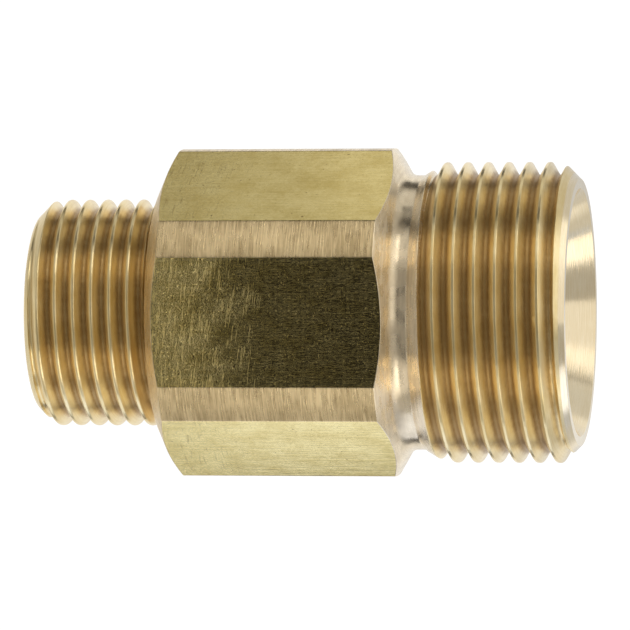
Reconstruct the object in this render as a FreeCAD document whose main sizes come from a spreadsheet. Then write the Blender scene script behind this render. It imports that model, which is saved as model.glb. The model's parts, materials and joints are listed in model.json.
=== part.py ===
"""Reducing hex nipple, G3/8 male by M22x1.5 male, turned from one length of hexagon brass bar.

The axis of the nipple is X. The G3/8 thread points towards -X and the M22x1.5 thread towards +X.
The origin is on the axis, halfway between the two ends, and a flat of the hexagon faces +Z.
"""
import FreeCAD, Part
import math
import os
import Sketcher

# Each driving dimension: its alias in the sheet, its value in millimetres or degrees, what it is.
DIMENSIONS = [
    ("overall_length", 39.7, "end to end"),
    ("hex_across_flats", 22.0, "bar size, for a 22 mm spanner"),
    ("hex_turned_diameter", 23.88, "the bar's corners are turned down to this"),
    ("hex_land_length", 15.7, "length of the turned corners, between the chamfers"),
    ("shoulder_diameter", 18.7, "flat face of the hexagon, on the G3/8 side"),
    ("shoulder_chamfer_angle", 25.0, "measured from that face"),
    ("neck_chamfer_angle", 30.0, "measured from a face square to the axis"),
    ("neck_fillet_radius", 0.9, "between the neck and the hexagon's chamfer"),
    ("neck_diameter", 19.96, "just under the root of the M22x1.5 thread"),
    ("neck_end_distance", 11.3, "from the M22x1.5 end to where the neck slopes up"),
    ("run_in_angle", 30.0, "slope from the neck up to the crests, measured from the axis"),
    ("run_in_rounding", 0.4, "radius between the neck and that slope"),
    ("g_crest_diameter", 16.572, "G3/8 major diameter, between 16.408 and 16.662"),
    ("g_thread_depth", 0.856, "0.6403 of the pitch"),
    ("g_pitch", 1.337, "19 threads to the inch"),
    ("g_flank_angle", 55.0, "Whitworth form"),
    ("g_root_radius", 0.184, "0.1373 of the pitch"),
    ("g_groove_offset", 0.497, "from the end to the first groove, on the +Z side"),
    ("g_stud_length", 9.3, "from the end to the hexagon's face"),
    ("g_relief_width", 0.45, "gap between the thread and the hexagon's face"),
    ("g_relief_diameter", 14.8, "just under the root of the G3/8 thread"),
    ("g_point_diameter", 14.34, "small end of the 45 degree lead chamfer"),
    ("m_crest_diameter", 21.82, "M22x1.5 major diameter, between 21.732 and 21.968"),
    ("m_thread_depth", 0.92, "0.6134 of the pitch"),
    ("m_pitch", 1.5, "metric fine pitch"),
    ("m_flank_angle", 60.0, "ISO metric form"),
    ("m_root_radius", 0.2165, "0.1443 of the pitch"),
    ("m_groove_offset", 1.053, "from the end to the first groove, on the +Z side"),
    ("m_point_diameter", 19.36, "small end of the 45 degree lead chamfer"),
    ("cone_mouth_diameter", 18.0, "mouth of the sealing cone"),
    ("cone_angle", 60.0, "included angle of the sealing cone"),
    ("socket_diameter", 14.1, "takes the 14 mm stem of a coupling"),
    ("socket_depth", 15.0, "from the M22x1.5 end to the socket's floor"),
    ("bore_diameter", 10.0, "waterway through to the G3/8 end"),
    ("bore_chamfer", 0.5, "45 degree break of the waterway's edge"),
    ("core_step_distance", 20.0, "from the M22x1.5 end, inside the hexagon"),
    ("cutter_clearance", 0.1, "how far a cutting outline stands clear of the metal"),
]

document = FreeCAD.newDocument("hex_nipple")


def make_sheet():
    """Put every driving dimension in the sheet, one to a row, under its own alias."""
    sheet = document.addObject("Spreadsheet::Sheet", "Sizes")
    for row, (alias, value, meaning) in enumerate(DIMENSIONS, start=1):
        sheet.set(f"A{row}", alias)
        sheet.set(f"B{row}", str(value))
        sheet.setAlias(f"B{row}", alias)
        sheet.set(f"C{row}", meaning)
    document.recompute()


def in_sheet(expression):
    """A leading @ marks an alias, so that @g_pitch becomes Sizes.g_pitch."""
    return expression.replace("@", "Sizes.")


def number_of(sketch, expression):
    """The present value of an expression of the sheet; None stands for zero."""
    if expression is None:
        return 0.0
    now = sketch.evalExpression(in_sheet(expression))
    return float(getattr(now, "Value", now))


def bind(sketch, kind, geometry, expression):
    """Add one dimension to the sketch and tie it to an expression of the sheet."""
    number = number_of(sketch, expression)
    index = sketch.addConstraint(Sketcher.Constraint(kind, *geometry, number))
    sketch.setExpression(f"Constraints[{index}]", in_sheet(expression))


def place_point(sketch, geometry, end, along, radius):
    """Fix a point at a distance along the axis and a radius; None puts it on the zero line."""
    for kind, zero_line, expression in (("DistanceX", -2, along), ("DistanceY", -1, radius)):
        if expression is None:
            sketch.addConstraint(Sketcher.Constraint("PointOnObject", geometry, end, zero_line))
        else:
            bind(sketch, kind, (-1, 1, geometry, end), expression)


def rounded_corner(before, corner, after, radius):
    """Both ends of an arc that rounds a corner, the arc, and whether it runs anticlockwise."""
    arriving = (corner - before).normalize()
    leaving = (after - corner).normalize()
    turn = arriving.getAngle(leaving)
    setback = radius * math.tan(turn / 2)
    first = corner - arriving * setback
    last = corner + leaving * setback
    anticlockwise = arriving.cross(leaving).z > 0
    side = 1 if anticlockwise else -1
    centre = first + FreeCAD.Vector(-arriving.y, arriving.x, 0) * side * radius
    ends = (first, last) if anticlockwise else (last, first)
    angles = [math.atan2(end.y - centre.y, end.x - centre.x) for end in ends]
    circle = Part.Circle(centre, FreeCAD.Vector(0, 0, 1), radius)
    return first, last, Part.ArcOfCircle(circle, *angles), anticlockwise


def draw_outline(sketch, corners):
    """Draw a closed outline through corners given as (along, radius) or (along, radius, rounding)."""
    places = [FreeCAD.Vector(number_of(sketch, c[0]), number_of(sketch, c[1]), 0) for c in corners]
    starts = list(places)
    ends = places[1:] + places[:1]
    arcs = {}
    for index, corner in enumerate(corners):
        if len(corner) == 3:
            before, after = places[index - 1], places[(index + 1) % len(places)]
            rounding = number_of(sketch, corner[2])
            first, last, arc, anticlockwise = rounded_corner(before, places[index], after, rounding)
            ends[index - 1] = first
            starts[index] = last
            arcs[index] = (arc, anticlockwise)
    lines = [
        sketch.addGeometry(Part.LineSegment(start, end), False)
        for start, end in zip(starts, ends)
    ]
    for index, corner in enumerate(corners):
        arriving, leaving = lines[index - 1], lines[index]
        if index not in arcs:
            sketch.addConstraint(Sketcher.Constraint("Coincident", arriving, 2, leaving, 1))
            place_point(sketch, leaving, 1, *corner)
            continue
        shape, anticlockwise = arcs[index]
        arc = sketch.addGeometry(shape, False)
        arc_start, arc_end = (1, 2) if anticlockwise else (2, 1)
        sketch.addConstraint(Sketcher.Constraint("Tangent", arriving, 2, arc, arc_start))
        sketch.addConstraint(Sketcher.Constraint("Tangent", arc, arc_end, leaving, 1))
        sharp_corner = sketch.addGeometry(Part.Point(places[index]), True)
        sketch.addConstraint(Sketcher.Constraint("PointOnObject", sharp_corner, 1, arriving))
        sketch.addConstraint(Sketcher.Constraint("PointOnObject", sharp_corner, 1, leaving))
        place_point(sketch, sharp_corner, 1, *corner[:2])
        bind(sketch, "Radius", (arc,), corner[2])


def new_sketch(body, name, plane_role):
    """An empty sketch on one of the body's own origin planes."""
    plane = next(item for item in body.Origin.OriginFeatures if item.Role == plane_role)
    sketch = body.newObject("Sketcher::SketchObject", name)
    sketch.AttachmentSupport = [(plane, "")]
    sketch.MapMode = "FlatFace"
    return sketch


def half_section(body, name, corners):
    """An outline on the XZ plane: along is the distance from the G3/8 end, up is the radius."""
    sketch = new_sketch(body, name, "XZ_Plane")
    sketch.setExpression("AttachmentOffset.Base.x", in_sheet("-@overall_length / 2"))
    draw_outline(sketch, corners)
    return sketch


def turn(body, kind, name, sketch):
    """Revolve a half section all round the nipple's axis, to add metal or to cut it away."""
    feature = body.newObject(kind, name)
    feature.Profile = sketch
    feature.ReferenceAxis = (sketch, ["H_Axis"])
    feature.Angle = 360
    return feature


def add_threaded_ends(body):
    """Turn the two plain studs and a core between them, before the hexagon is round it."""
    thread_end = "@g_stud_length - @g_relief_width"
    core_step = "@overall_length - @core_step_distance"
    neck_end = "@overall_length - @neck_end_distance"
    run_in = "(@m_crest_diameter - @neck_diameter) / 2 / tan(@run_in_angle)"
    m_chamfer = "(@m_crest_diameter - @m_point_diameter) / 2"
    section = half_section(body, "EndsSection", [
        (None, None),
        (None, "@g_point_diameter / 2"),
        ("(@g_crest_diameter - @g_point_diameter) / 2", "@g_crest_diameter / 2"),
        (thread_end, "@g_crest_diameter / 2"),
        (thread_end, "@g_relief_diameter / 2"),
        (core_step, "@g_relief_diameter / 2"),
        (core_step, "@neck_diameter / 2"),
        (neck_end, "@neck_diameter / 2", "@run_in_rounding"),
        (f"{neck_end} + {run_in}", "@m_crest_diameter / 2"),
        (f"@overall_length - {m_chamfer}", "@m_crest_diameter / 2"),
        ("@overall_length", "@m_point_diameter / 2"),
        ("@overall_length", None),
    ])
    return turn(body, "PartDesign::Revolution", "ThreadedEnds", section)


def cut_thread(body, prefix, start, travel):
    """Cut a right-hand thread with a round-bottomed vee that travels along the axis.

    The vee starts with its centre line at the given distance from the G3/8 end, on the +Z side,
    and both ends of its travel are clear of the metal, so the groove runs out with no blunt end.
    """
    half_angle = f"@{prefix}_flank_angle / 2"
    root = f"@{prefix}_crest_diameter / 2 - @{prefix}_thread_depth"
    sharp_root = f"({root} + @{prefix}_root_radius - @{prefix}_root_radius / sin({half_angle}))"
    top = f"(@{prefix}_crest_diameter / 2 + @cutter_clearance)"
    half_width = f"({top} - {sharp_root}) * tan({half_angle})"
    section = half_section(body, f"{prefix.upper()}Groove", [
        (f"{start} - {half_width}", top),
        (start, sharp_root, f"@{prefix}_root_radius"),
        (f"{start} + {half_width}", top),
    ])
    helix = body.newObject("PartDesign::SubtractiveHelix", f"{prefix.upper()}Thread")
    helix.Profile = section
    helix.ReferenceAxis = (section, ["H_Axis"])
    helix.Mode = "pitch-height-angle"
    helix.LeftHanded = False
    helix.setExpression("Pitch", in_sheet(f"@{prefix}_pitch"))
    helix.setExpression("Height", in_sheet(travel))
    return helix


def add_hexagon(body):
    """Stand the hexagon bar round the core, from the shoulder to the end of the neck."""
    sketch = new_sketch(body, "HexagonSection", "YZ_Plane")
    sketch.setExpression("AttachmentOffset.Base.z", in_sheet("@g_stud_length - @overall_length / 2"))
    across_corners = "@hex_across_flats / cos(30)"
    radius = number_of(sketch, f"{across_corners} / 2")
    corners = [
        FreeCAD.Vector(radius * math.cos(side * math.pi / 3), radius * math.sin(side * math.pi / 3), 0)
        for side in range(6)
    ]
    sides = [
        sketch.addGeometry(Part.LineSegment(start, end), False)
        for start, end in zip(corners, corners[1:] + corners[:1])
    ]
    round_corners = Part.Circle(FreeCAD.Vector(), FreeCAD.Vector(0, 0, 1), radius)
    circle = sketch.addGeometry(round_corners, True)
    sketch.addConstraint(Sketcher.Constraint("Coincident", circle, 3, -1, 1))
    bind(sketch, "Diameter", (circle,), across_corners)
    for side, following in zip(sides, sides[1:] + sides[:1]):
        sketch.addConstraint(Sketcher.Constraint("Coincident", side, 2, following, 1))
        sketch.addConstraint(Sketcher.Constraint("PointOnObject", side, 1, circle))
    for side in sides[1:]:
        sketch.addConstraint(Sketcher.Constraint("Equal", sides[0], side))
    sketch.addConstraint(Sketcher.Constraint("PointOnObject", sides[0], 1, -1))
    pad = body.newObject("PartDesign::Pad", "Hexagon")
    pad.Profile = sketch
    neck_end = "@overall_length - @neck_end_distance"
    pad.setExpression("Length", in_sheet(f"{neck_end} - @g_stud_length - @run_in_rounding"))
    return pad


def turn_corners(body):
    """Turn down the bar's corners, with a chamfer at each end and a fillet into the neck."""
    turned_height = "(@hex_turned_diameter - @shoulder_diameter) / 2"
    chamfer_height = "(@hex_turned_diameter - @neck_diameter) / 2"
    land_start = f"@g_stud_length + {turned_height} * tan(@shoulder_chamfer_angle)"
    land_end = f"{land_start} + @hex_land_length"
    neck_start = f"{land_end} + {chamfer_height} * tan(@neck_chamfer_angle)"
    neck_end = "@overall_length - @neck_end_distance - @run_in_rounding / 2"
    section = half_section(body, "CornersSection", [
        ("@g_stud_length", "@shoulder_diameter / 2"),
        (land_start, "@hex_turned_diameter / 2"),
        (land_end, "@hex_turned_diameter / 2"),
        (neck_start, "@neck_diameter / 2", "@neck_fillet_radius"),
        (neck_end, "@neck_diameter / 2"),
        (neck_end, "@hex_across_flats"),
        ("@g_stud_length", "@hex_across_flats"),
    ])
    return turn(body, "PartDesign::Groove", "TurnedCorners", section)


def bore_through(body):
    """Bore the sealing cone, the socket behind it and the waterway out of the G3/8 end."""
    cone_depth = "(@cone_mouth_diameter - @socket_diameter) / 2 / tan(@cone_angle / 2)"
    section = half_section(body, "BoreSection", [
        (None, None),
        (None, "@bore_diameter / 2 + @bore_chamfer"),
        ("@bore_chamfer", "@bore_diameter / 2"),
        ("@overall_length - @socket_depth", "@bore_diameter / 2"),
        ("@overall_length - @socket_depth", "@socket_diameter / 2"),
        (f"@overall_length - {cone_depth}", "@socket_diameter / 2"),
        ("@overall_length", "@cone_mouth_diameter / 2"),
        ("@overall_length", None),
    ])
    return turn(body, "PartDesign::Groove", "Bore", section)


def check_volume(feature, adds_metal):
    """Stop if a feature that should add or cut metal has left the volume as it was, or worse."""
    document.recompute()
    base = feature.BaseFeature
    before = base.Shape.Volume if base else 0.0
    change = feature.Shape.Volume - before
    if (change > 0) != adds_metal or abs(change) < 1.0:
        raise RuntimeError(f"{feature.Name} changed the volume by {change:.3f} mm3")
    print(f"{feature.Name}: {change:+.1f} mm3")


def check_document():
    """Stop if any object failed, and if any sketch is left with a loose dimension."""
    for item in document.Objects:
        if "Invalid" in item.State or "Error" in item.State:
            raise RuntimeError(f"{item.Name} failed: {item.State}")
        if item.TypeId == "Sketcher::SketchObject" and not item.FullyConstrained:
            raise RuntimeError(f"{item.Name} is not fully constrained")


make_sheet()
nipple = document.addObject("PartDesign::Body", "NippleBody")
nipple.Label = "nipple_body"
check_volume(add_threaded_ends(nipple), adds_metal=True)
check_volume(cut_thread(nipple, "g", "(@g_groove_offset - @g_pitch)",
                        "@g_stud_length + 1.5 * @g_pitch"), adds_metal=False)
check_volume(cut_thread(nipple, "m", "(@overall_length - @m_groove_offset - 8 * @m_pitch)",
                        "9 * @m_pitch + @m_groove_offset"), adds_metal=False)
check_volume(add_hexagon(nipple), adds_metal=True)
check_volume(turn_corners(nipple), adds_metal=False)
check_volume(bore_through(nipple), adds_metal=False)
check_document()

os.makedirs("parts", exist_ok=True)
for body in (nipple,):
    if body.Shape.isNull() or not body.Shape.isValid() or len(body.Shape.Solids) != 1:
        raise RuntimeError(f"{body.Label} is not one valid solid")
    body.Shape.exportStep(os.path.join("parts", f"{body.Label}.step"))
    box = body.Shape.optimalBoundingBox()
    print(f"{body.Label}: {box.XLength:.2f} x {box.YLength:.2f} x {box.ZLength:.2f} mm,"
          f" {body.Shape.Volume:.0f} mm3")
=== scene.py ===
"""The hex nipple as it looks: one turned brass piece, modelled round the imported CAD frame."""
import json
import math

import bpy
import numpy as np
from mathutils import Matrix, Vector


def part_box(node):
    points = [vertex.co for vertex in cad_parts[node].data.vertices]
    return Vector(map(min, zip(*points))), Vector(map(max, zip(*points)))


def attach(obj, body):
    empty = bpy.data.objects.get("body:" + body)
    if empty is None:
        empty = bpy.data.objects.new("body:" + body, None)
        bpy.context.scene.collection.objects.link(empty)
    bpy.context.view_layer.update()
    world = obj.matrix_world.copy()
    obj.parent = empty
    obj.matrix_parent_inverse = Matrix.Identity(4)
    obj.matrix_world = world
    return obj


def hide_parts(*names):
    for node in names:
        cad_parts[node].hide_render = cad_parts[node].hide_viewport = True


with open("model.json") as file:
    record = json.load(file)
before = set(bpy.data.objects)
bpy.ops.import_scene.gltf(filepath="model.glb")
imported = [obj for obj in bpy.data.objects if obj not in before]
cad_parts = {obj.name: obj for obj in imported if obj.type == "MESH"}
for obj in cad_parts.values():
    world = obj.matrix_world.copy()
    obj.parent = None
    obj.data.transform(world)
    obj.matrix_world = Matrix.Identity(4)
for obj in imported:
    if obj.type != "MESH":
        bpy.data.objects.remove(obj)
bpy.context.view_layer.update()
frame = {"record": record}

MM = 0.001
NODE = "nipple_body"


# ---------------------------------------------------------------------------------------------
# Sizes, in millimetres. Those that the frame holds come from it; the rest repeat the driving
# dimensions of the CAD, and the last few are small roundings that only the visual has.

def mount(name):
    """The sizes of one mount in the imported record."""
    return next(m["dims"] for m in frame["record"]["mounts"] if m["name"] == name)


node_low, node_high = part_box(NODE)
RIGHT_END = node_high[0] / MM
LEFT_END = node_low[0] / MM
FLAT_RADIUS = node_high[2] / MM
TURNED_RADIUS = 11.94
FLOOR = node_low[2]

G_CREST = mount("g38_thread")["r_mm"]
G_PITCH = 1.337
G_ROOT = G_CREST - 0.6403 * G_PITCH
G_FIRST_GROOVE = LEFT_END + 0.497
G_STUD_END = LEFT_END + 9.3
G_RELIEF_RADIUS = 7.4
G_POINT_RADIUS = 7.17
G_RELIEF_WIDTH = 0.45

M_CREST = mount("m22_thread")["r_mm"]
M_PITCH = 1.5
M_ROOT = M_CREST - 0.6134 * M_PITCH
M_FIRST_GROOVE = RIGHT_END - 1.053
M_POINT_RADIUS = 9.68

SHOULDER_RADIUS = 9.35
SHOULDER_CHAMFER = math.radians(25)
LAND_LENGTH = 15.7
NECK_CHAMFER = math.radians(30)
NECK_RADIUS = 9.98
NECK_FILLET = 0.9
NECK_END = RIGHT_END - 11.3
RUN_IN = math.radians(30)

CONE_RADIUS = 9.0
CONE_HALF_ANGLE = math.radians(30)
SOCKET_RADIUS = mount("stem_socket")["r_mm"]
SOCKET_FLOOR = RIGHT_END - 15.0
BORE_RADIUS = mount("waterway")["r_mm"]
BORE_CHAMFER = 0.5

EDGE = 0.06
BLEND = 0.04
RELIEF_FILLET = 0.1
SOCKET_FILLET = 0.2
RUN_IN_ROUNDING = 0.4


# ---------------------------------------------------------------------------------------------
# Outlines. A point is (along the axis, radius); each array holds one value per column.

def rounded_path(corners, steps=4):
    """Points and directions along an outline whose corners are (along, radius, rounding)."""
    columns = max(np.size(value) for corner in corners for value in corner[:2])
    places = [
        np.stack([np.broadcast_to(c[0], columns), np.broadcast_to(c[1], columns)]).astype(float)
        for c in corners
    ]
    points, directions = [], []
    for index, corner in enumerate(corners):
        before = places[max(index - 1, 0)]
        after = places[min(index + 1, len(places) - 1)]
        here = places[index]
        if index == 0 or index == len(places) - 1:
            arriving = leaving = unit(after - before)
        else:
            arriving, leaving = unit(here - before), unit(after - here)
        turn = np.arctan2(
            arriving[0] * leaving[1] - arriving[1] * leaving[0],
            (arriving * leaving).sum(axis=0),
        )
        rounding = corner[2]
        if not rounding:
            points.append(here)
            directions.append(unit(arriving + leaving))
            continue
        first = here - arriving * rounding * np.tan(np.abs(turn) / 2)
        square = np.stack([-arriving[1], arriving[0]]) * np.sign(turn)
        centre = first + square * rounding
        for step in range(steps + 1):
            angle = turn * step / steps
            points.append(centre + swung(-square * rounding, angle))
            directions.append(swung(arriving, angle))
    return np.array(points), np.array(directions)


def unit(vectors):
    """The same vectors at length one, along the first axis."""
    return vectors / np.linalg.norm(vectors, axis=0)


def swung(vectors, angle):
    """Plane vectors turned anticlockwise."""
    cos, sin = np.cos(angle), np.sin(angle)
    return np.stack([vectors[0] * cos - vectors[1] * sin, vectors[0] * sin + vectors[1] * cos])


def smooth_min(a, b, width):
    """The lower of two heights, with the corner between them rounded over the width."""
    near = np.maximum(width - np.abs(a - b), 0) / width
    return np.minimum(a, b) - near * near * width / 4


def thread_outline(crest, root, pitch, half_angle, root_rounding, crest_rounding, steps):
    """One pitch of a thread, from one crest's middle to the next, as (along, radius) points."""
    sharp_root = root + root_rounding - root_rounding / math.sin(half_angle)
    crest_half = pitch / 2 - (crest - sharp_root) * math.tan(half_angle)
    points, _ = rounded_path([
        (-pitch / 2, crest, 0),
        (-pitch / 2 + crest_half, crest, crest_rounding),
        (0, sharp_root, root_rounding),
        (pitch / 2 - crest_half, crest, crest_rounding),
        (pitch / 2, crest, 0),
    ], steps)
    return points[:, :, 0]


class Thread:
    """A right-hand thread's surface, as a radius at each place along and around the axis."""

    def __init__(self, form, first_groove, blank):
        """The form holds the arguments of thread_outline, apart from its steps."""
        self.pitch = form["pitch"]
        self.first_groove = first_groove
        self.blank = blank
        self.along, self.radius = thread_outline(**form, steps=12).T
        self.rows = thread_outline(**form, steps=3)[:-1, 0]

    def groove_centre(self, angle):
        """Where the groove that is at first_groove on the +Z side is, at another angle."""
        return self.first_groove + self.pitch * (angle - math.pi / 2) / math.tau

    def height(self, along, angle):
        """The radius of the surface: the thread, where the blank doesn't end it first."""
        across = along - self.groove_centre(angle)
        across = across - self.pitch * np.round(across / self.pitch)
        thread = np.interp(across, self.along, self.radius)
        blank = np.interp(along, *self.blank)
        return smooth_min(thread, blank, BLEND)

    def normal(self, along, angle):
        """The surface's outward direction as (along, radial, around) parts."""
        step = 1e-3
        radius = self.height(along, angle)
        slope_along = (self.height(along + step, angle) - self.height(along - step, angle)) / (2 * step)
        turn_step = step / radius
        slope_around = (
            self.height(along, angle + turn_step) - self.height(along, angle - turn_step)
        ) / (2 * step)
        return unit(np.stack([-slope_along, np.ones_like(radius), -slope_around]))


# ---------------------------------------------------------------------------------------------
# Columns: the angles round the axis at which every outline is drawn, closer at the flats' edges.

HALF_FLAT = math.acos(FLAT_RADIUS / TURNED_RADIUS)


def column_angles():
    """Angles from +Y towards +Z, with extra ones where a flat meets the turned corner."""
    rounding = math.radians(0.7)
    next_flat = math.pi / 3 - HALF_FLAT
    flat = np.linspace(-HALF_FLAT + rounding, HALF_FLAT - rounding, 26)
    corner = np.linspace(HALF_FLAT + rounding, next_flat - rounding, 12)
    near_edge = rounding * np.array([-0.5, 0, 0.5])
    sector = np.concatenate([flat, HALF_FLAT + near_edge, corner, next_flat + near_edge])
    return np.concatenate([sector + math.radians(30 + 60 * side) for side in range(6)])


ANGLES = column_angles()
COLUMNS = len(ANGLES)


def from_flat(angle):
    """How far an angle is from the middle of its flat."""
    return angle % (math.pi / 3) - math.pi / 6


def hexagon_radius(angle):
    """The hexagon bar's radius with its corners turned down."""
    return smooth_min(FLAT_RADIUS / np.cos(from_flat(angle)), TURNED_RADIUS, BLEND)


# ---------------------------------------------------------------------------------------------
# The mesh is built ring by ring, from the G3/8 end over the outside to the M22 end and back
# through the bore.

FLATS, BANDS, THREADED, BRIGHT, NECK = range(5)


class Shell:
    """Collects vertices, their normals and faces, each face with its finish."""

    def __init__(self):
        self.points, self.normals, self.faces, self.finishes = [], [], [], []
        self.count = 0

    def add_ring(self, along, radius, normal):
        """Add one vertex at each column and return their numbers."""
        cos, sin = np.cos(ANGLES), np.sin(ANGLES)
        along = np.broadcast_to(along, COLUMNS)
        radius = np.broadcast_to(radius, COLUMNS)
        self.points.append(np.stack([along, radius * cos, radius * sin], axis=1))
        self.normals.append(np.stack([
            normal[0],
            normal[1] * cos - normal[2] * sin,
            normal[1] * sin + normal[2] * cos,
        ], axis=1))
        numbers = np.arange(self.count, self.count + COLUMNS)
        self.count += COLUMNS
        return numbers

    def add_vertex(self, column, along, radius, normal):
        """Add one vertex at one column and return its number."""
        cos, sin = math.cos(ANGLES[column]), math.sin(ANGLES[column])
        self.points.append([[along, radius * cos, radius * sin]])
        self.normals.append([[
            normal[0],
            normal[1] * cos - normal[2] * sin,
            normal[1] * sin + normal[2] * cos,
        ]])
        self.count += 1
        return self.count - 1

    def join(self, ring, following, finish):
        """Fill the band between two rings; the finish is one value or one for each column."""
        finish = np.broadcast_to(finish, COLUMNS)
        for column in range(COLUMNS):
            after = (column + 1) % COLUMNS
            self.add_face(
                (ring[column], ring[after], following[after], following[column]), finish[column]
            )

    def add_face(self, corners, finish):
        """Add a face, dropping corners that fall together; a face of no area isn't added."""
        kept = [c for c, before in zip(corners, corners[-1:] + corners[:-1]) if c != before]
        if len(kept) > 2:
            self.faces.append(kept)
            self.finishes.append(finish)


def path_rings(shell, outline_at):
    """Add a ring for each point of an outline that may change with the angle."""
    points, directions = rounded_path(outline_at(ANGLES))
    step = 1e-4
    ahead, _ = rounded_path(outline_at(ANGLES + step))
    behind, _ = rounded_path(outline_at(ANGLES - step))
    drift = (ahead - behind) / (2 * step)
    rings = []
    for point, direction, change in zip(points, directions, drift):
        radius = np.broadcast_to(point[1], COLUMNS)
        normal = unit(np.stack(np.broadcast_arrays(
            -radius * direction[1],
            radius * direction[0],
            change[0] * direction[1] - change[1] * direction[0],
        )))
        rings.append(shell.add_ring(point[0], radius, normal))
    return rings


def thread_rings(shell, thread, places):
    """Add plain rings on a thread's surface, for the stretches where it runs in or out."""
    rings = []
    for along in places:
        level = np.full(COLUMNS, along)
        normal = thread.normal(level, ANGLES)
        rings.append(shell.add_ring(along, thread.height(level, ANGLES), normal))
    return rings


def join_all(shell, rings, finish):
    """Fill the bands between rings that follow each other."""
    for ring, following in zip(rings, rings[1:]):
        shell.join(ring, following, finish)


def helical_rows(shell, thread, first_ring, last_ring, start, end):
    """Fill the stretch between two rings with rows that follow the helix."""
    margin = 0.02
    per_turn = len(thread.rows)
    turns = math.ceil((end - start) / thread.pitch) + 2
    start_turn = math.floor((start - thread.first_groove) / thread.pitch) - 1
    rows = []
    for number in range(-per_turn, (turns + 1) * per_turn):
        turn, place = divmod(number, per_turn)
        along = thread.groove_centre(ANGLES) + thread.pitch * (start_turn + turn) + thread.rows[place]
        radius = thread.height(along, ANGLES)
        normal = thread.normal(along, ANGLES)
        row = np.where(along <= start + margin, first_ring, last_ring)
        for column in np.flatnonzero((along > start + margin) & (along < end - margin)):
            row[column] = shell.add_vertex(column, along[column], radius[column], normal[:, column])
        rows.append(row)
    past_end = [last_ring] * (per_turn + 1)
    for row, following, row_after, following_after in zip(
        rows, rows[1:], (rows + past_end)[per_turn:], (rows + past_end)[per_turn + 1:]
    ):
        row_round = np.append(row, row_after[0])
        following_round = np.append(following, following_after[0])
        for column in range(COLUMNS):
            shell.add_face((
                row_round[column],
                row_round[column + 1],
                following_round[column + 1],
                following_round[column],
            ), THREADED)


# ---------------------------------------------------------------------------------------------
# The nipple's outlines, and the surface made from them.

SHOULDER_END = G_STUD_END + (TURNED_RADIUS - SHOULDER_RADIUS) * math.tan(SHOULDER_CHAMFER)
LAND_END = SHOULDER_END + LAND_LENGTH
LAND_MIDDLE = (SHOULDER_END + LAND_END) / 2
NECK_START = LAND_END + (TURNED_RADIUS - NECK_RADIUS) * math.tan(NECK_CHAMFER)
RUN_IN_END = NECK_END + (M_CREST - NECK_RADIUS) / math.tan(RUN_IN)
G_THREAD_END = G_STUD_END - G_RELIEF_WIDTH
G_WALL_END = G_THREAD_END + 0.12
G_LEAD_END = LEFT_END + 1.7
G_TAIL_START = G_THREAD_END - 0.25
M_CUT_START = NECK_END + 0.9
M_LEAD_END = RUN_IN_END + 0.1
M_TAIL_START = RIGHT_END - 1.9
M_CHAMFER_FOOT = RIGHT_END - 0.4
NECK_OVERLAP = 0.1
MARGIN = 0.08


def shoulder_outline(angle):
    """From the relief up the hexagon's face and over its edge on to the bar."""
    bar = hexagon_radius(angle)
    return [
        (G_WALL_END, G_RELIEF_RADIUS, 0),
        (G_STUD_END, G_RELIEF_RADIUS, RELIEF_FILLET),
        (G_STUD_END, SHOULDER_RADIUS, EDGE),
        (G_STUD_END + (bar - SHOULDER_RADIUS) * math.tan(SHOULDER_CHAMFER), bar, EDGE),
        (LAND_MIDDLE, bar, 0),
    ]


def neck_outline(angle):
    """From the bar over its other edge and down into the neck."""
    bar = hexagon_radius(angle)
    return [
        (LAND_MIDDLE + MARGIN, bar, 0),
        (LAND_END + (TURNED_RADIUS - bar) * math.tan(NECK_CHAMFER), bar, EDGE),
        (NECK_START, NECK_RADIUS, NECK_FILLET),
        (NECK_END - NECK_OVERLAP, NECK_RADIUS, 0),
    ]


def inside_outline(angle):
    """Over the M22 end, down the cone, through the socket and waterway, and over the G3/8 end."""
    cone_end = RIGHT_END - (CONE_RADIUS - SOCKET_RADIUS) / math.tan(CONE_HALF_ANGLE)
    return [
        (RIGHT_END - MARGIN, M_POINT_RADIUS + MARGIN, 0),
        (RIGHT_END, M_POINT_RADIUS, EDGE),
        (RIGHT_END, CONE_RADIUS, EDGE),
        (cone_end, SOCKET_RADIUS, EDGE),
        (SOCKET_FLOOR, SOCKET_RADIUS, SOCKET_FILLET),
        (SOCKET_FLOOR, BORE_RADIUS, EDGE),
        (LEFT_END + BORE_CHAMFER, BORE_RADIUS, EDGE),
        (LEFT_END, BORE_RADIUS + BORE_CHAMFER, EDGE),
        (LEFT_END, G_POINT_RADIUS, EDGE),
        (LEFT_END + MARGIN, G_POINT_RADIUS + MARGIN, 0),
    ]


def blank(corners):
    """A plain lathe outline as two lists, for reading the radius at any place along it."""
    points, _ = rounded_path(corners)
    return points[:, 0, 0], points[:, 1, 0]


def g_thread():
    """The G3/8 thread: 55 degree Whitworth form, with round crests and roots."""
    rounding = 0.1373 * G_PITCH
    form = {
        "crest": G_CREST,
        "root": G_ROOT,
        "pitch": G_PITCH,
        "half_angle": math.radians(27.5),
        "root_rounding": rounding,
        "crest_rounding": rounding * 0.9,
    }
    top = G_CREST + BLEND
    return Thread(form, G_FIRST_GROOVE, blank([
        (LEFT_END, G_POINT_RADIUS, 0),
        (LEFT_END + top - G_POINT_RADIUS, top, 0.1),
        (G_THREAD_END, top, EDGE),
        (G_WALL_END, G_RELIEF_RADIUS, EDGE),
        (G_STUD_END, G_RELIEF_RADIUS, 0),
    ]))


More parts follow.
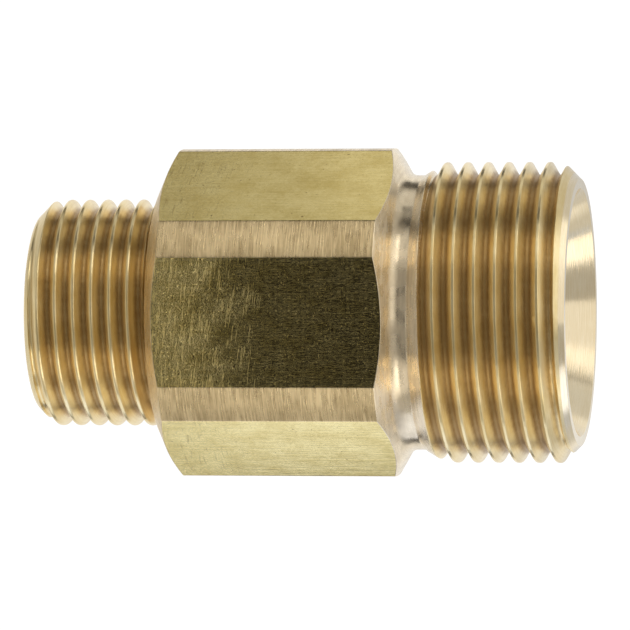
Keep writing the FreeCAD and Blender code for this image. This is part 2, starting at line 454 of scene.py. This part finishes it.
def m_thread():
    """The M22x1.5 thread: 60 degree ISO form, with narrow flat crests and round roots."""
    form = {
        "crest": M_CREST,
        "root": M_ROOT,
        "pitch": M_PITCH,
        "half_angle": math.radians(30),
        "root_rounding": 0.1443 * M_PITCH,
        "crest_rounding": 0.05,
    }
    top = M_CREST + BLEND
    return Thread(form, M_FIRST_GROOVE, blank([
        (NECK_END - 0.5, NECK_RADIUS, 0),
        (NECK_END, NECK_RADIUS, RUN_IN_ROUNDING),
        (RUN_IN_END, top, 0.1),
        (RIGHT_END - (top - M_POINT_RADIUS), top, 0.08),
        (RIGHT_END, M_POINT_RADIUS, 0),
    ]))


def build_shell():
    """The whole surface, closed on itself through the bore."""
    shell = Shell()
    inside = path_rings(shell, inside_outline)
    g = g_thread()
    g_lead = thread_rings(shell, g, np.linspace(LEFT_END + MARGIN, G_LEAD_END, 44)[1:])
    g_tail = thread_rings(shell, g, np.linspace(G_TAIL_START, G_WALL_END, 10)[:-1])
    shoulder = path_rings(shell, shoulder_outline)
    neck = path_rings(shell, neck_outline)
    m = m_thread()
    m_plain = thread_rings(shell, m, np.linspace(NECK_END - NECK_OVERLAP, M_CUT_START, 26)[1:])
    m_lead = thread_rings(shell, m, np.linspace(M_CUT_START, M_LEAD_END, 25)[1:])
    m_tail = thread_rings(shell, m, np.linspace(M_TAIL_START, M_CHAMFER_FOOT, 40))
    m_foot = thread_rings(shell, m, np.linspace(M_CHAMFER_FOOT, RIGHT_END - MARGIN, 6)[1:-1])

    following = np.append(ANGLES[1:], ANGLES[0] + math.tau)
    on_flat = np.abs(from_flat((ANGLES + following) / 2)) < HALF_FLAT
    bar_finish = np.where(on_flat, FLATS, BANDS)

    join_all(shell, inside, BRIGHT)
    join_all(shell, [inside[-1]] + g_lead, THREADED)
    helical_rows(shell, g, g_lead[-1], g_tail[0], G_LEAD_END, G_TAIL_START)
    join_all(shell, g_tail + [shoulder[0]], THREADED)
    join_all(shell, shoulder[:-1], BANDS)
    join_all(shell, [shoulder[-2], shoulder[-1], neck[0], neck[1]], bar_finish)
    join_all(shell, neck[1:] + m_plain, NECK)
    join_all(shell, m_plain[-1:] + m_lead, THREADED)
    helical_rows(shell, m, m_lead[-1], m_tail[0], M_LEAD_END, M_TAIL_START)
    join_all(shell, m_tail, THREADED)
    join_all(shell, [m_tail[-1]] + m_foot + [inside[0]], BRIGHT)
    return shell


def make_nipple(materials):
    """The shell as one mesh object, shaded with the true direction of each surface."""
    shell = build_shell()
    mesh = bpy.data.meshes.new("hex_nipple")
    mesh.from_pydata(np.concatenate(shell.points) * MM, [], shell.faces)
    for material in materials:
        mesh.materials.append(material)
    mesh.polygons.foreach_set("material_index", shell.finishes)
    mesh.polygons.foreach_set("use_smooth", [True] * len(mesh.polygons))
    mesh.normals_split_custom_set_from_vertices(np.concatenate(shell.normals))
    nipple = bpy.data.objects.new("hex_nipple", mesh)
    bpy.context.scene.collection.objects.link(nipple)
    return nipple


# ---------------------------------------------------------------------------------------------
# Materials. One brass, with the five finishes that its surfaces have.

class Nodes:
    """Short calls for building a node tree out of values and sums."""

    def __init__(self, tree):
        self.tree = tree
        tree.nodes.clear()

    def add(self, kind, **settings):
        """Add a node and set its plain properties."""
        node = self.tree.nodes.new(kind)
        for name, value in settings.items():
            setattr(node, name, value)
        return node

    def give(self, socket, value):
        """Set a socket to a number or colour, or link it to another node's output."""
        if isinstance(value, bpy.types.NodeSocket):
            self.tree.links.new(value, socket)
        else:
            socket.default_value = value

    def maths(self, operation, *values):
        """The result of one sum."""
        node = self.add("ShaderNodeMath", operation=operation)
        for socket, value in zip(node.inputs, values):
            self.give(socket, value)
        return node.outputs[0]

    def vector(self, *parts):
        """A vector from three values."""
        node = self.add("ShaderNodeCombineXYZ")
        for socket, value in zip(node.inputs, parts):
            self.give(socket, value)
        return node.outputs[0]

    def step(self, value, start, end, low=0.0, high=1.0):
        """A smooth change from low to high while the value goes from start to end."""
        node = self.add("ShaderNodeMapRange", interpolation_type="SMOOTHSTEP")
        for socket, given in zip(node.inputs, (value, start, end, low, high)):
            self.give(socket, given)
        return node.outputs[0]

    def noise(self, place, scale, detail=2.0, roughness=0.5):
        """Noise between 0 and 1 at a place."""
        node = self.add("ShaderNodeTexNoise")
        self.give(node.inputs["Vector"], place)
        node.inputs["Scale"].default_value = scale
        node.inputs["Detail"].default_value = detail
        node.inputs["Roughness"].default_value = roughness
        return node.outputs["Fac"]

    def bump(self, height, strength, distance, normal=None):
        """A normal bent by a height; the distance is in metres."""
        node = self.add("ShaderNodeBump")
        self.give(node.inputs["Height"], height)
        self.give(node.inputs["Strength"], strength)
        node.inputs["Distance"].default_value = distance
        if normal is not None:
            self.give(node.inputs["Normal"], normal)
        return node.outputs["Normal"]

    def mix(self, factor, first, second):
        """A colour between two others."""
        node = self.add("ShaderNodeMix", data_type="RGBA")
        self.give(node.inputs["Factor"], factor)
        self.give(node.inputs[6], first)
        self.give(node.inputs[7], second)
        return node.outputs[2]


def place_in_mm(nodes):
    """The place on an object in millimetres, whole and split into its X, Y and Z."""
    place = nodes.add("ShaderNodeVectorMath", operation="SCALE")
    nodes.give(place.inputs[0], nodes.add("ShaderNodeTexCoord").outputs["Object"])
    place.inputs["Scale"].default_value = 1 / MM
    split = nodes.add("ShaderNodeSeparateXYZ")
    nodes.give(split.inputs[0], place.outputs[0])
    return place.outputs[0], split.outputs


def start_material(name):
    """A material with a Principled shader set to bare metal, and the place on the part in mm."""
    material = bpy.data.materials.new(name)
    material.use_nodes = True
    nodes = Nodes(material.node_tree)
    shader = nodes.add("ShaderNodeBsdfPrincipled")
    shader.inputs["Metallic"].default_value = 1.0
    output = nodes.add("ShaderNodeOutputMaterial")
    nodes.give(output.inputs["Surface"], shader.outputs["BSDF"])
    place, axes = place_in_mm(nodes)
    return material, nodes, shader, place, axes


def brushed(nodes, shader, amount, across_axis):
    """Blur reflections across the tool marks; across_axis is true for marks that run along X."""
    tangent = nodes.add("ShaderNodeTangent", direction_type="RADIAL", axis="X")
    nodes.give(shader.inputs["Tangent"], tangent.outputs[0])
    shader.inputs["Anisotropic"].default_value = amount
    shader.inputs["Anisotropic Rotation"].default_value = 0.0 if across_axis else 0.25


def stretched(nodes, axes, along, across):
    """A place scaled by one number along the axis and another across it, for streaky noise."""
    return nodes.vector(
        nodes.maths("MULTIPLY", axes["X"], along),
        nodes.maths("MULTIPLY", axes["Y"], across),
        nodes.maths("MULTIPLY", axes["Z"], across),
    )


def axis_distance(nodes, axes):
    """How far a place is from the nipple's axis."""
    return nodes.maths("POWER", nodes.maths("ADD", *(
        nodes.maths("MULTIPLY", axes[side], axes[side]) for side in ("Y", "Z")
    )), 0.5)


def ring_place(nodes, axes, fine, coarse):
    """A place that changes fast along the outline and slowly round the axis, for tool rings."""
    radial_rate = 2.2
    outline = nodes.maths(
        "ADD", axes["X"], nodes.maths("MULTIPLY", axis_distance(nodes, axes), radial_rate)
    )
    return nodes.vector(
        nodes.maths("MULTIPLY", outline, fine),
        nodes.maths("MULTIPLY", axes["Y"], coarse),
        nodes.maths("MULTIPLY", axes["Z"], coarse),
    )


def drawn_flats():
    """The bar's own skin: fine lines along it, grain, pits and a few handling scratches."""
    material, nodes, shader, place, axes = start_material("drawn_brass")
    light_skin, dark_skin = (1.0, 0.80, 0.33, 1), (0.76, 0.57, 0.18, 1)
    stained = (0.42, 0.29, 0.09, 1)
    scratch_lean = 0.12
    lines = nodes.noise(stretched(nodes, axes, 0.12, 4.0), 1.6, detail=4.0, roughness=0.7)
    leaning = nodes.maths("SUBTRACT", axes["X"], nodes.maths("MULTIPLY", axes["Y"], scratch_lean))
    scratch_place = nodes.vector(
        nodes.maths("MULTIPLY", leaning, 5.0),
        nodes.maths("MULTIPLY", axes["Y"], 0.4),
        nodes.maths("MULTIPLY", axes["Z"], 0.4),
    )
    mottle = nodes.noise(place, 0.45, detail=5.0, roughness=0.65)
    grain = nodes.noise(place, 4.5, detail=3.0, roughness=0.8)
    specks = nodes.step(nodes.noise(place, 6.5, detail=1.0), 0.68, 0.76)
    pits = nodes.step(nodes.noise(place, 3.4, detail=1.0), 0.74, 0.78)
    fine = nodes.maths("ADD", nodes.maths("MULTIPLY", grain, 0.55), nodes.maths("MULTIPLY", lines, 0.45))
    tone = nodes.maths(
        "ADD", nodes.maths("MULTIPLY", mottle, 0.45), nodes.maths("MULTIPLY", fine, 0.55)
    )
    worn = nodes.step(
        nodes.maths("ADD", axes["X"], nodes.maths("MULTIPLY", mottle, 8.0)), 4.0, -7.0
    )
    scratches = nodes.maths(
        "MULTIPLY", worn, nodes.step(nodes.noise(scratch_place, 1.3, detail=3.0), 0.58, 0.7)
    )
    skin = nodes.mix(nodes.step(tone, 0.36, 0.64), light_skin, dark_skin)
    marks = nodes.maths("MAXIMUM", pits, nodes.maths("MULTIPLY", scratches, 0.4))
    nodes.give(shader.inputs["Base Color"], nodes.mix(marks, skin, stained))
    nodes.give(shader.inputs["Roughness"], nodes.step(worn, 0.0, 1.0, 0.13, 0.24))
    brushed(nodes, shader, 0.4, across_axis=True)
    normal = nodes.bump(lines, 0.5, 0.03 * MM)
    normal = nodes.bump(scratches, 0.5, 0.03 * MM, normal)
    normal = nodes.bump(grain, nodes.step(worn, 0.0, 1.0, 0.05, 0.9), 0.03 * MM, normal)
    normal = nodes.bump(specks, nodes.step(worn, 0.0, 1.0, 0.15, 0.7), 0.02 * MM, normal)
    normal = nodes.bump(mottle, 0.3, 0.03 * MM, normal)
    nodes.give(shader.inputs["Normal"], normal)
    return material


def tooled(name, tones, roughness, brushing, ring_depth, ring_pitch):
    """A lathe-cut surface: rings at the tool's feed, uneven in depth and broken round the axis."""
    material, nodes, shader, place, axes = start_material(name)
    rings = nodes.noise(ring_place(nodes, axes, 1 / ring_pitch, 0.5), 1.0, detail=2.0, roughness=0.6)
    streaks = nodes.noise(ring_place(nodes, axes, 0.45 / ring_pitch, 0.9), 1.0, detail=2.0)
    mottle = nodes.noise(place, 0.45, detail=4.0, roughness=0.6)
    tone = nodes.maths(
        "ADD", nodes.maths("MULTIPLY", mottle, 0.4), nodes.maths("MULTIPLY", rings, 0.6)
    )
    nodes.give(shader.inputs["Base Color"], nodes.mix(nodes.step(tone, 0.35, 0.65), *tones))
    nodes.give(
        shader.inputs["Roughness"], nodes.step(streaks, 0.3, 0.7, roughness * 0.8, roughness * 1.25)
    )
    brushed(nodes, shader, brushing, across_axis=False)
    normal = nodes.bump(rings, 0.8, ring_depth * MM)
    normal = nodes.bump(streaks, 0.3, ring_depth * MM, normal)
    nodes.give(shader.inputs["Normal"], normal)
    return material


def thread_brass():
    """The cut threads: plain metal at the crests, with painted shade, browner and darker, down in the
    roots, which are also duller.
    """
    material, nodes, shader, place, axes = start_material("thread_brass")
    light_metal, dark_metal = (1.0, 0.81, 0.45, 1), (0.88, 0.67, 0.31, 1)
    painted_root_shade = (0.48, 0.30, 0.11, 1)
    crest = nodes.step(axes["X"], LAND_MIDDLE - 1, LAND_MIDDLE + 1, G_CREST, M_CREST)
    left_chamfer = nodes.maths("ADD", axes["X"], G_POINT_RADIUS - LEFT_END)
    right_chamfer = nodes.maths("SUBTRACT", M_POINT_RADIUS + RIGHT_END, axes["X"])
    crest = nodes.maths("MINIMUM", crest, nodes.maths("MINIMUM", left_chamfer, right_chamfer))
    depth = nodes.maths("SUBTRACT", crest, axis_distance(nodes, axes))
    rings = nodes.noise(ring_place(nodes, axes, 5.0, 0.3), 1.0, detail=3.0, roughness=0.6)
    chatter = nodes.noise(ring_place(nodes, axes, 1.2, 1.6), 1.0, detail=3.0, roughness=0.6)
    mottle = nodes.noise(place, 0.5, detail=4.0, roughness=0.6)
    # Painted shade: the colour turns dark brown with depth below the crest, standing in for the shade in
    # the roots; the roughness follows the same mask.
    uneven = nodes.maths("ADD", depth, nodes.maths("MULTIPLY", chatter, 0.3))
    root_shade = nodes.step(uneven, 0.55, 1.1)
    metal = nodes.mix(
        nodes.step(nodes.maths("ADD", mottle, rings), 0.75, 1.25), light_metal, dark_metal
    )
    nodes.give(shader.inputs["Base Color"], nodes.mix(root_shade, metal, painted_root_shade))
    nodes.give(shader.inputs["Roughness"], nodes.step(root_shade, 0.0, 1.0, 0.29, 0.45))
    brushed(nodes, shader, 0.88, across_axis=False)
    normal = nodes.bump(rings, 0.6, 0.012 * MM)
    normal = nodes.bump(chatter, 0.4, 0.04 * MM, normal)
    nodes.give(shader.inputs["Normal"], normal)
    return material


def finishes():
    """The finishes, in the order of FLATS, BANDS, THREADED, BRIGHT and NECK."""
    tan = ((0.97, 0.74, 0.40, 1), (0.60, 0.44, 0.22, 1))
    pale = ((0.97, 0.82, 0.56, 1), (0.91, 0.74, 0.47, 1))
    grey = ((0.97, 0.80, 0.54, 1), (0.80, 0.65, 0.43, 1))
    return [
        drawn_flats(),
        tooled("turned_brass", tan, 0.3, 0.7, ring_depth=0.028, ring_pitch=0.1),
        thread_brass(),
        tooled("bright_cut_brass", pale, 0.14, 0.4, ring_depth=0.006, ring_pitch=0.12),
        tooled("neck_brass", grey, 0.27, 0.95, ring_depth=0.001, ring_pitch=0.3),
    ]


# ---------------------------------------------------------------------------------------------
# The studio: a pale floor glowing with painted light and shade, a soft surround with brighter and darker
# cards, and the camera.

# The cards that the nipple reflects; the camera itself sees none of them. Each has a name for the
# reader, its brightness and its edges in two coordinates; a later card stands in front of an
# earlier one.

# Angles round the nipple's axis (0 is straight up, 90 is towards +Y) and lean along the axis.
SIDE_CARDS = [
    ("grey_above", 0.62, (-48, 44), (-0.9, 0.4)),
    ("dark_at_camera", 0.02, (-44, 40), (-0.27, 0.14)),
    ("upper_softbox", 2.8, (47, 72), (0.12, 0.7)),
    ("lower_softbox", 2.8, (-69, -37), (0.12, 0.7)),
    ("upper_gap", 0.08, (79, 107), (-0.95, 0.5)),
]
# Compass angles beyond the M22 end (0 is straight along the axis, 90 is towards +Y) and height.
END_CARDS = [
    ("middle_wall", 1.1, (-5, 33), (-1.1, 0.2)),
    ("near_panel", 1.4, (-37, -24), (-1.1, 0.05)),
    ("middle_sky", 1.1, (-9, 34), (0.2, 1.1)),
    ("far_panel", 1.5, (33, 47), (0.0, 0.8)),
    ("tall_near_panel", 1.8, (-57, -40), (-0.05, 0.6)),
]
# The two that reach down to the floor, and go on across it.
LOW_END_CARDS = END_CARDS[:2]
# Millimetres across the floor (+ is towards +Y) and along it. The floor's glow in reflections is painted
# light and shade laid as these sheets and strips, standing in for light falling on it.
FLOOR_CARDS = [
    ("near_sheet", 1.05, (-2000, 0), (-2000, 24)),
    ("far_sheet", 0.62, (0, 2000), (-2000, 24)),
    ("dim_corner", 0.46, (0, 2000), (-2000, -4)),
    ("far_gap", 0.12, (78, 2000), (-2000, 24)),
    # Painted shadow: this near-black border round the nipple's place stands in for the nipple's shadow
    # on the floor, seen in reflections.
    ("painted_shadow_border", 0.03, (-29, 27), (-2000, 20)),
    ("strip_light", 0.84, (-22, 19), (-2000, 20)),
]
SURROUND = 0.55


def lay_cards(nodes, light, cards, first, second, soft):
    """Lay cards over a brightness; soft is how wide their edges are in the two coordinates."""
    for _, brightness, first_edges, second_edges in cards:
        inside = 1.0
        for place, edges, width in ((first, first_edges, soft[0]), (second, second_edges, soft[1])):
            inside = nodes.maths("MULTIPLY", inside, nodes.maths(
                "MULTIPLY",
                nodes.step(place, edges[0] - width, edges[0] + width),
                nodes.step(place, edges[1] - width, edges[1] + width, 1.0, 0.0),
            ))
        change = nodes.maths("MULTIPLY", nodes.maths("SUBTRACT", brightness, light), inside)
        light = nodes.maths("ADD", light, change)
    return light


def beyond_end(nodes, beyond, end, sides):
    """The light past the M22 end where beyond is 1, and the light at the sides where it is 0."""
    return nodes.maths(
        "ADD",
        nodes.maths("MULTIPLY", end, beyond),
        nodes.maths("MULTIPLY", sides, nodes.maths("SUBTRACT", 1.0, beyond)),
    )


def compass(nodes, across, along):
    """The angle from straight along the axis towards +Y, in degrees."""
    return nodes.maths("DEGREES", nodes.maths("ARCTAN2", across, along))


def make_surround():
    """Light from all round, drawn as cards; the camera itself sees plain white beyond the floor."""
    world = bpy.data.worlds.new("studio")
    world.use_nodes = True
    bpy.context.scene.world = world
    nodes = Nodes(world.node_tree)
    split = nodes.add("ShaderNodeSeparateXYZ")
    nodes.give(split.inputs[0], nodes.add("ShaderNodeTexCoord").outputs["Generated"])
    lean, side, height = split.outputs
    around = compass(nodes, side, height)
    sides = lay_cards(nodes, SURROUND, SIDE_CARDS, around, lean, (2.0, 0.03))
    end = lay_cards(nodes, SURROUND, END_CARDS, compass(nodes, side, lean), height, (1.0, 0.05))
    beyond = nodes.step(lean, 0.42, 0.5)
    light = beyond_end(nodes, beyond, end, sides)
    seen = nodes.add("ShaderNodeLightPath").outputs["Is Camera Ray"]
    background = nodes.add("ShaderNodeBackground")
    nodes.give(background.inputs["Strength"], nodes.maths("MAXIMUM", light, seen))
    output = nodes.add("ShaderNodeOutputWorld")
    nodes.give(output.inputs["Surface"], background.outputs[0])


def make_floor():
    """A wide pale floor that glows in strips of painted light and shade for reflections; the camera
    itself sees it plain white.
    """
    half = 1500 * MM
    mesh = bpy.data.meshes.new("floor")
    mesh.from_pydata([
        (-half, -half, FLOOR), (half, -half, FLOOR), (half, half, FLOOR), (-half, half, FLOOR),
    ], [], [(0, 1, 2, 3)])
    floor = bpy.data.objects.new("floor", mesh)
    bpy.context.scene.collection.objects.link(floor)
    material = bpy.data.materials.new("pale_floor")
    material.use_nodes = True
    nodes = Nodes(material.node_tree)
    _, axes = place_in_mm(nodes)
    along, across = axes["X"], axes["Y"]
    # Painted light and shade: the floor's glow in reflections follows these cards, in place of lamps
    # lighting it.
    strips = lay_cards(nodes, SURROUND, FLOOR_CARDS, across, along, (1.0, 4.0))
    end = lay_cards(nodes, SURROUND, LOW_END_CARDS, compass(nodes, across, along), 0.0, (1.0, 0.05))
    beyond = nodes.step(along, 45, 60)
    light = beyond_end(nodes, beyond, end, strips)
    seen = nodes.add("ShaderNodeLightPath").outputs["Is Camera Ray"]
    shader = nodes.add("ShaderNodeBsdfPrincipled")
    shader.inputs["Base Color"].default_value = (0.1, 0.1, 0.1, 1)
    shader.inputs["Roughness"].default_value = 0.9
    bluish, nearly_white, white = (0.84, 0.93, 1.15, 1), (0.96, 0.98, 1, 1), (1, 1, 1, 1)
    tint = nodes.mix(nodes.step(across, -30, -20), bluish, nearly_white)
    nodes.give(shader.inputs["Emission Color"], nodes.mix(seen, tint, white))
    nodes.give(shader.inputs["Emission Strength"], nodes.maths("MAXIMUM", light, seen))
    output = nodes.add("ShaderNodeOutputMaterial")
    nodes.give(output.inputs["Surface"], shader.outputs["BSDF"])
    mesh.materials.append(material)


def make_camera():
    """A long lens looking down on the nipple, turned a little towards its M22 end."""
    yaw, roll = math.radians(9.59), math.radians(3.8)
    right = Vector((math.cos(yaw), -math.sin(yaw) * math.sin(roll), -math.sin(yaw) * math.cos(roll)))
    up = Vector((0, math.cos(roll), -math.sin(roll)))
    back = right.cross(up)
    target = Vector((0.323 * MM, 0, 0)) - up * 0.188 * MM
    camera = bpy.data.objects.new("camera", bpy.data.cameras.new("camera"))
    camera.data.lens = 346.66
    camera.data.sensor_width = 36
    camera.data.clip_start = 0.01
    place = target + back * 442.6 * MM
    camera.matrix_world = Matrix((
        (right.x, up.x, back.x, place.x),
        (right.y, up.y, back.y, place.y),
        (right.z, up.z, back.z, place.z),
        (0, 0, 0, 1),
    ))
    bpy.context.scene.collection.objects.link(camera)
    bpy.context.scene.camera = camera


nipple = make_nipple(finishes())
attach(nipple, "root")
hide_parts(NODE)

make_floor()
make_surround()
make_camera()
bpy.context.scene.view_settings.view_transform = "Standard"
